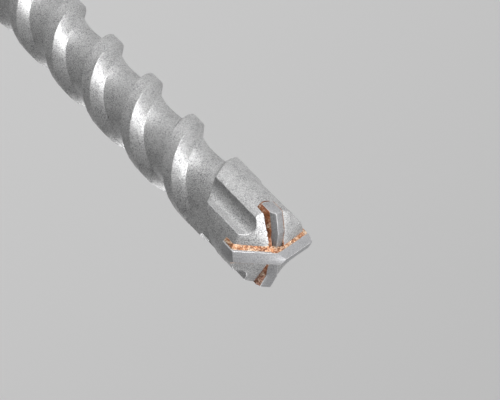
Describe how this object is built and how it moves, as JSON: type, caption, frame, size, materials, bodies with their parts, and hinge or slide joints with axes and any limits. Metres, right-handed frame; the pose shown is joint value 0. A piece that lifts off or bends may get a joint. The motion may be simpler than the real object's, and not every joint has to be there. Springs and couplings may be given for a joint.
{
  "type": "hammer drill bit",
  "caption": "Masonry drill bit for a rotary hammer: fluted steel body, cross-shaped head with brazed carbide cutters, slotted round shank.",
  "frame": {"origin": "centre of the shank's end face, which the bit stands on", "axes": "+Z along the bit's axis from the shank to the tip, +X along the main cutter"},
  "size_m": [0.022, 0.0212, 0.32],
  "materials": {
    "steel": "shot-blasted, matte",
    "carbide": "sintered and ground, matte",
    "braze": "copper braze, rough"
  },
  "bodies": {
    "root": {"bit_body": "steel", "main_cutter": "carbide", "side_cutter_1": "carbide", "side_cutter_2": "carbide", "braze_main": "braze", "braze_side_1": "braze", "braze_side_2": "braze"}
  },
  "joints": []
}
